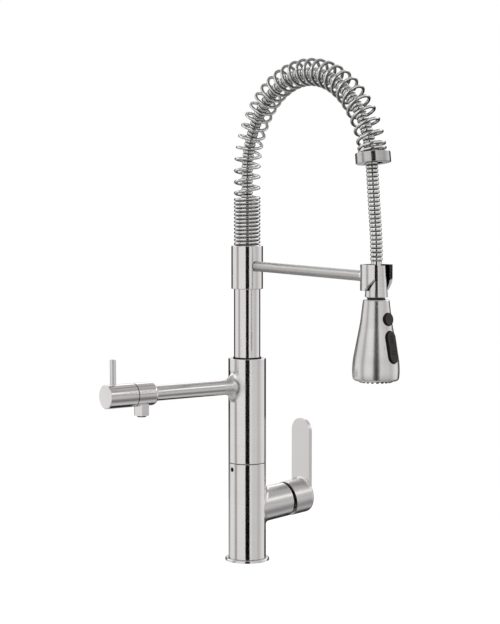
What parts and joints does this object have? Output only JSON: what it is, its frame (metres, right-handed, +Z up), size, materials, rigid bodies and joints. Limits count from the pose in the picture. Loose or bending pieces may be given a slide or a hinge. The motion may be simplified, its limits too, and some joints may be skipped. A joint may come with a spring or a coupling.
{
  "type": "three-way kitchen faucet",
  "caption": "Tall kitchen faucet with a side mixer lever, a spring arch with pull-down spray head on a docking arm, and a separate swivel spout with knob for filtered water.",
  "frame": {"origin": "centre of the base at the deck surface", "axes": "+Z up along the column, -Y to the spray head, +X to the mixer lever"},
  "size_m": [0.257, 0.2525, 0.5244],
  "materials": {
    "satin_nickel": "satin brushed",
    "steel_rod": "satin",
    "spring_steel": "satin",
    "hose_steel": "bright",
    "screw_steel": "plain",
    "brass": "machined",
    "black_rubber": "matt",
    "black_plastic": "matt",
    "key_plastic": "satin",
    "face_plastic": "satin",
    "pale_plastic": "moulded",
    "valve_ceramic": "lapped"
  },
  "bodies": {
    "base": {"base_flange": "satin_nickel", "base_gasket": "black_rubber", "shank_bushing": "brass", "valve_body": "satin_nickel", "inlet_manifold": "brass", "manifold_o_ring": "black_rubber", "filter_feed_tube": "screw_steel", "swivel_spindle": "brass", "spindle_o_rings": "black_rubber", "spindle_grub_screw": "screw_steel", "sleeve_glide_ring": "black_plastic", "riser_glide_ring": "black_plastic", "cartridge_shell": "pale_plastic", "cartridge_seals": "black_rubber", "fixed_ceramic_disc": "valve_ceramic", "cartridge_nut": "brass", "bonnet_ring": "black_plastic"},
    "mixer_rotor": {"cartridge_rotor": "pale_plastic", "stem_pin": "screw_steel"},
    "ceramic_slider": {"moving_ceramic_disc": "valve_ceramic"},
    "lever": {"lever_stem": "screw_steel", "lever_handle": "satin_nickel", "lever_grub_screw": "screw_steel", "lever_index_plug": "black_plastic"},
    "filter_spout": {"swivel_sleeve": "satin_nickel", "filter_arm": "satin_nickel", "filter_valve_body": "satin_nickel", "filter_headwork": "brass", "filter_outlet_nut": "satin_nickel", "filter_outlet_insert": "black_plastic", "riser_wiper_ring": "black_rubber"},
    "filter_handle": {"filter_knob": "satin_nickel", "filter_pin_lever": "satin_nickel", "filter_stem": "brass"},
    "main_spout": {"riser_tube": "satin_nickel", "riser_o_rings": "black_rubber", "dock_collar": "satin_nickel", "collar_grub_screw": "screw_steel", "dock_arm": "steel_rod", "dock_cradle": "satin_nickel", "arch_spring": "spring_steel", "spring_seat": "screw_steel", "hose_inlet_fitting": "brass", "spring_end_cap": "satin_nickel", "hose_sheath_arch": "hose_steel", "hose_liner_arch": "black_rubber", "hose_sheath_lower": "hose_steel", "hose_liner_lower": "black_rubber"},
    "spray_head": {"hose_ferrule": "satin_nickel", "spray_neck": "satin_nickel", "neck_seal": "black_rubber", "spray_shell": "satin_nickel", "rocker_pin": "screw_steel", "spray_core": "pale_plastic", "spray_face": "face_plastic", "spray_nozzles": "black_rubber", "spray_aerator": "black_plastic"},
    "pause_key": {"pause_button": "key_plastic"},
    "mode_key": {"mode_rocker": "key_plastic"}
  },
  "joints": [
    {"name": "temperature", "type": "hinge", "parent": "base", "child": "mixer_rotor", "pos_m": [0, 0, 0.0549], "axis": [0.9962, 0, 0.0872], "range_deg": [-45, 45]},
    {"name": "lever_tilt", "type": "hinge", "parent": "mixer_rotor", "child": "lever", "pos_m": [0.04383, 0, 0.05874], "axis": [0, 1, 0], "range_deg": [0, 12]},
    {"name": "disc_slide", "type": "slide", "parent": "mixer_rotor", "child": "ceramic_slider", "axis": [-0.0872, 0, 0.9962], "range_m": [0, 0.0019]},
    {"name": "filter_swivel", "type": "hinge", "parent": "base", "child": "filter_spout", "pos_m": [0, 0, 0.16], "axis": [0, 0, 1], "range_deg": [-90, 90]},
    {"name": "filter_turn", "type": "hinge", "parent": "filter_spout", "child": "filter_handle", "pos_m": [-0.16, 0, 0.1866], "axis": [1, 0, 0], "range_deg": [0, 90]},
    {"name": "main_swivel", "type": "hinge", "parent": "base", "child": "main_spout", "pos_m": [0, 0, 0.25], "axis": [0, 0, 1], "range_deg": [-90, 90]},
    {"name": "head_pull", "type": "slide", "parent": "main_spout", "child": "spray_head", "axis": [0, 0, -1], "range_m": [0, 0.04], "stiffness_N_per_m": 150, "springref_m": -0.04, "deforming": ["hose_sheath_lower", "hose_liner_lower"]},
    {"name": "pause_press", "type": "slide", "parent": "spray_head", "child": "pause_key", "axis": [-0.1555, 0.9818, -0.1094], "range_m": [0, 0.0015], "stiffness_N_per_m": 400, "springref_m": -0.001},
    {"name": "mode_tip", "type": "hinge", "parent": "spray_head", "child": "mode_key", "pos_m": [0.00263, -0.22157, 0.24203], "axis": [0.9877, 0.1564, 0], "range_deg": [-5, 5]}
  ],
  "couplings": [
    {"joint": "disc_slide", "follows": "lever_tilt", "m_per_rad": 0.009}
  ]
}
